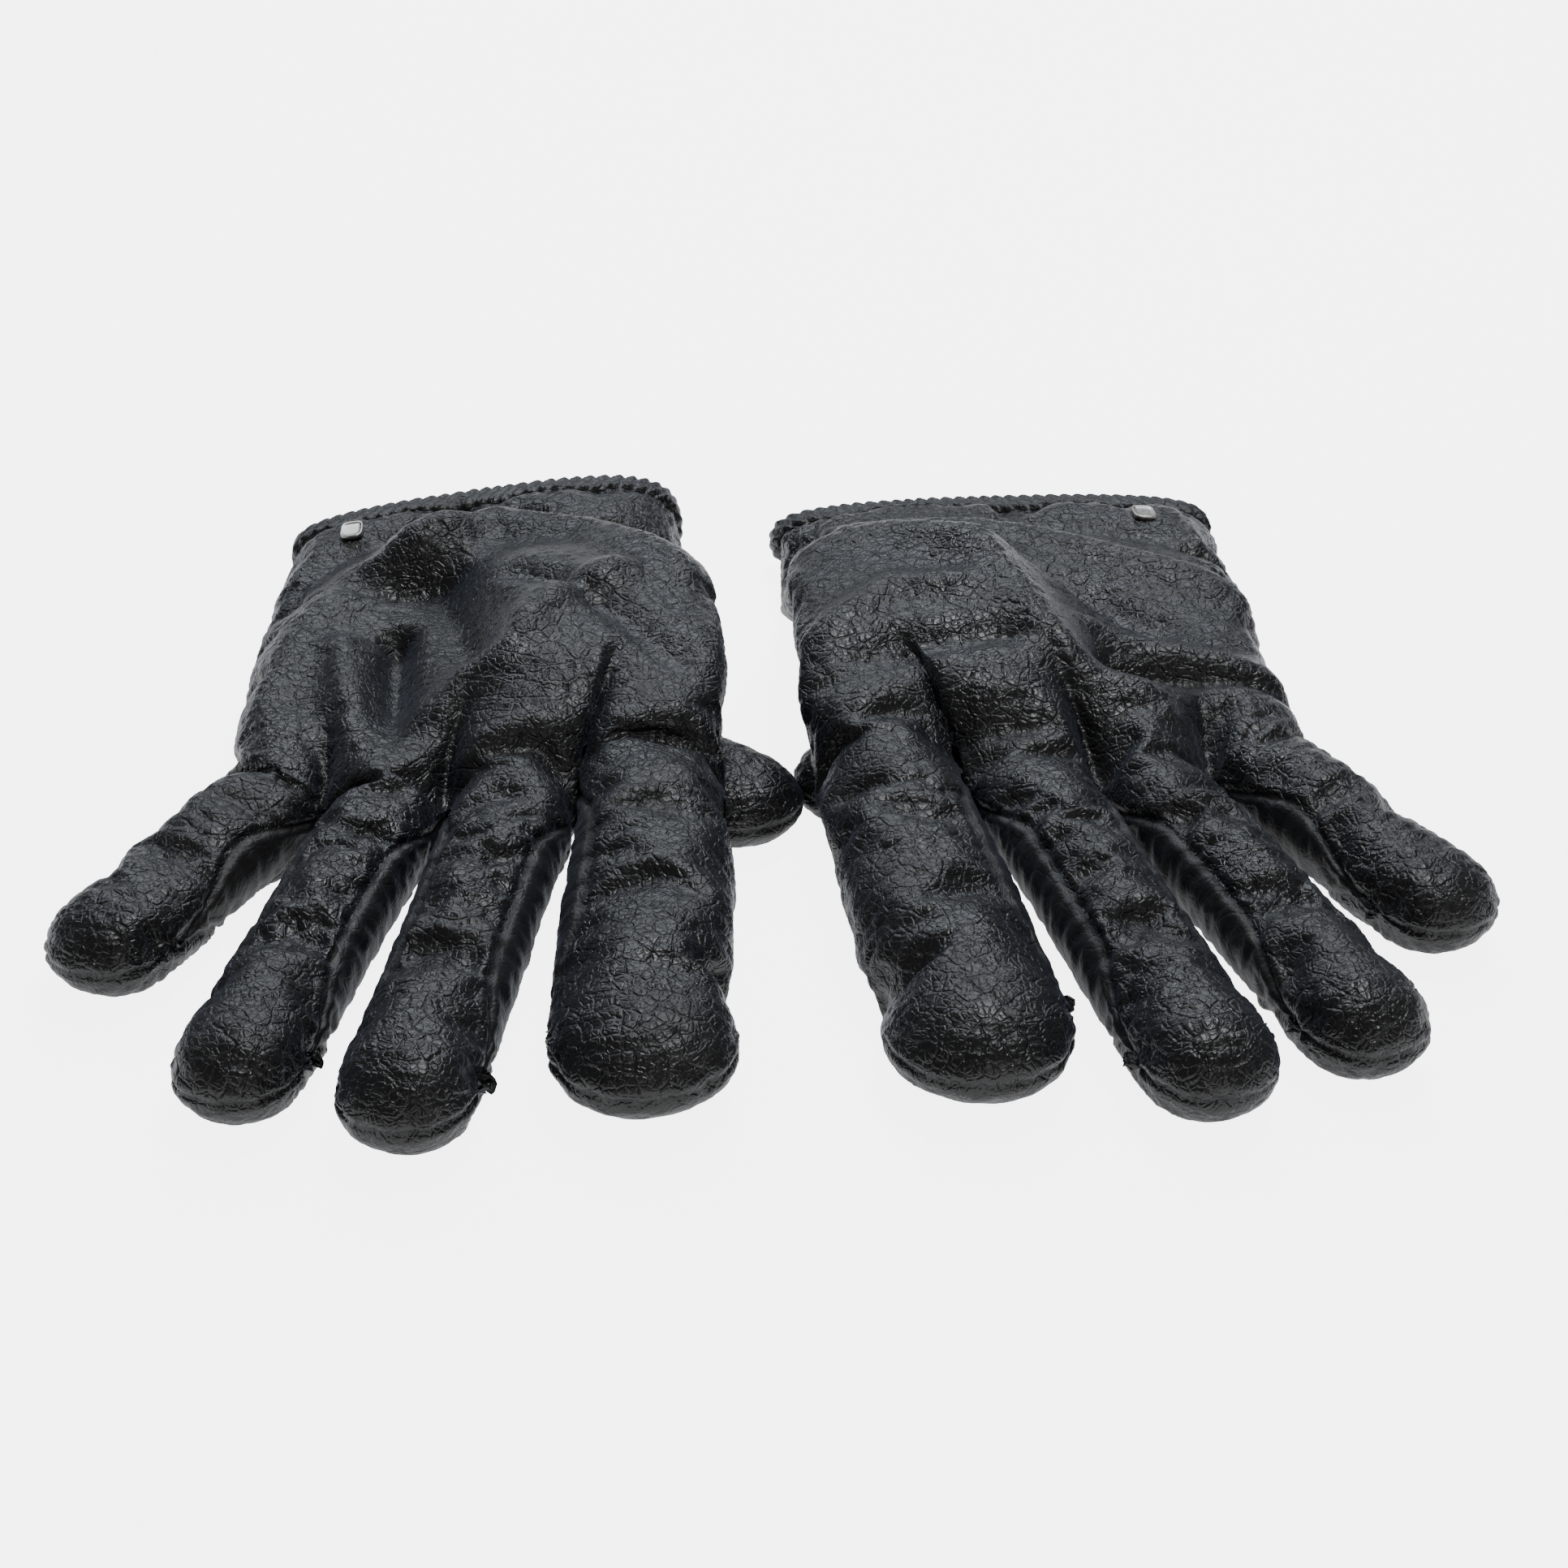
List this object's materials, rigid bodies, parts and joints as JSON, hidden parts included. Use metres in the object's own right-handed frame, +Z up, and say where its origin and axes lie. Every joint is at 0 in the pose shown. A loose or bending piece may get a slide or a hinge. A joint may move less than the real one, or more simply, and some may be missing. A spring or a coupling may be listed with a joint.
{
  "type": "pair of leather gloves",
  "caption": "Pair of lined black nappa leather dress gloves lying palm down, with a turned hem, side strips between the fingers and bending fingers and thumbs.",
  "frame": {"origin": "centre of the pair's footprint, on the surface that the gloves lie on", "axes": "+X from the right glove to the left glove, +Y from the fingertips towards the cuffs, +Z up out of the backs of the hands"},
  "size_m": [0.2872, 0.2626, 0.035],
  "materials": {
    "nappa_leather": "semi-gloss black nappa, finely grained and creased",
    "fourchette_leather": "smooth matt black nappa",
    "hem_leather": "turned and puckered black nappa",
    "knit_lining": "fine matt knit",
    "badge_metal": "polished white metal",
    "sewing_thread": "bonded black thread"
  },
  "bodies": {
    "right_hand": {"right_hand_back": "nappa_leather", "right_hand_palm": "nappa_leather", "right_hand_lining_back": "knit_lining", "right_hand_lining_palm": "knit_lining", "right_cuff_hem": "hem_leather", "right_hem_thread": "sewing_thread", "right_side_seam_thread": "sewing_thread", "right_badge": "badge_metal", "right_thumb_base": "nappa_leather"},
    "right_thumb": {"right_thumb_back": "nappa_leather", "right_thumb_front": "nappa_leather", "right_thumb_lining": "knit_lining"},
    "right_index": {"right_index_back": "nappa_leather", "right_index_palm": "nappa_leather", "right_index_lining": "knit_lining", "right_index_outer_fourchette": "fourchette_leather"},
    "right_middle": {"right_middle_back": "nappa_leather", "right_middle_palm": "nappa_leather", "right_middle_lining": "knit_lining", "right_middle_inner_fourchette": "fourchette_leather", "right_middle_outer_fourchette": "fourchette_leather"},
    "right_ring": {"right_ring_back": "nappa_leather", "right_ring_palm": "nappa_leather", "right_ring_lining": "knit_lining", "right_ring_inner_fourchette": "fourchette_leather", "right_ring_outer_fourchette": "fourchette_leather"},
    "right_little": {"right_little_back": "nappa_leather", "right_little_palm": "nappa_leather", "right_little_lining": "knit_lining", "right_little_inner_fourchette": "fourchette_leather"},
    "left_hand": {"left_hand_back": "nappa_leather", "left_hand_palm": "nappa_leather", "left_hand_lining_back": "knit_lining", "left_hand_lining_palm": "knit_lining", "left_cuff_hem": "hem_leather", "left_hem_thread": "sewing_thread", "left_side_seam_thread": "sewing_thread", "left_badge": "badge_metal", "left_thumb_base": "nappa_leather"},
    "left_thumb": {"left_thumb_back": "nappa_leather", "left_thumb_front": "nappa_leather", "left_thumb_lining": "knit_lining"},
    "left_index": {"left_index_back": "nappa_leather", "left_index_palm": "nappa_leather", "left_index_lining": "knit_lining", "left_index_outer_fourchette": "fourchette_leather"},
    "left_middle": {"left_middle_back": "nappa_leather", "left_middle_palm": "nappa_leather", "left_middle_lining": "knit_lining", "left_middle_inner_fourchette": "fourchette_leather", "left_middle_outer_fourchette": "fourchette_leather"},
    "left_ring": {"left_ring_back": "nappa_leather", "left_ring_palm": "nappa_leather", "left_ring_lining": "knit_lining", "left_ring_inner_fourchette": "fourchette_leather", "left_ring_outer_fourchette": "fourchette_leather"},
    "left_little": {"left_little_back": "nappa_leather", "left_little_palm": "nappa_leather", "left_little_lining": "knit_lining", "left_little_inner_fourchette": "fourchette_leather"}
  },
  "joints": [
    {"name": "left_glove_lift", "type": "slide", "parent": "right_hand", "child": "left_hand", "axis": [0, 0, 1], "range_m": [0, 0.1]},
    {"name": "right_index_curl", "type": "hinge", "parent": "right_hand", "child": "right_index", "pos_m": [-0.02623, -0.02868, 0.017], "axis": [0.9999, 0.0157, 0], "range_deg": [-30, 60]},
    {"name": "right_middle_curl", "type": "hinge", "parent": "right_hand", "child": "right_middle", "pos_m": [-0.05569, -0.03518, 0.015], "axis": [0.99, -0.1409, 0], "range_deg": [-30, 60]},
    {"name": "right_ring_curl", "type": "hinge", "parent": "right_hand", "child": "right_ring", "pos_m": [-0.08329, -0.03458, 0.0125], "axis": [0.9778, -0.2096, 0], "range_deg": [-30, 60]},
    {"name": "right_little_curl", "type": "hinge", "parent": "right_hand", "child": "right_little", "pos_m": [-0.10932, -0.02488, 0.011], "axis": [0.8902, -0.4555, 0], "range_deg": [-30, 60]},
    {"name": "right_thumb_swing", "type": "hinge", "parent": "right_hand", "child": "right_thumb", "pos_m": [-0.02418, 0.01448, 0.007], "axis": [0.8581, 0.5135, 0], "range_deg": [0, 50]},
    {"name": "left_index_curl", "type": "hinge", "parent": "left_hand", "child": "left_index", "pos_m": [0.02343, -0.02524, 0.017], "axis": [0.9842, 0.1771, 0], "range_deg": [-30, 60]},
    {"name": "left_middle_curl", "type": "hinge", "parent": "left_hand", "child": "left_middle", "pos_m": [0.05457, -0.02796, 0.015], "axis": [0.9578, 0.2874, 0], "range_deg": [-30, 60]},
    {"name": "left_ring_curl", "type": "hinge", "parent": "left_hand", "child": "left_ring", "pos_m": [0.08168, -0.02397, 0.0125], "axis": [0.9323, 0.3616, 0], "range_deg": [-30, 60]},
    {"name": "left_little_curl", "type": "hinge", "parent": "left_hand", "child": "left_little", "pos_m": [0.10631, -0.01113, 0.011], "axis": [0.8554, 0.518, 0], "range_deg": [-30, 60]},
    {"name": "left_thumb_swing", "type": "hinge", "parent": "left_hand", "child": "left_thumb", "pos_m": [0.03317, 0.0226, 0.007], "axis": [0.831, -0.5563, 0], "range_deg": [0, 50]}
  ]
}
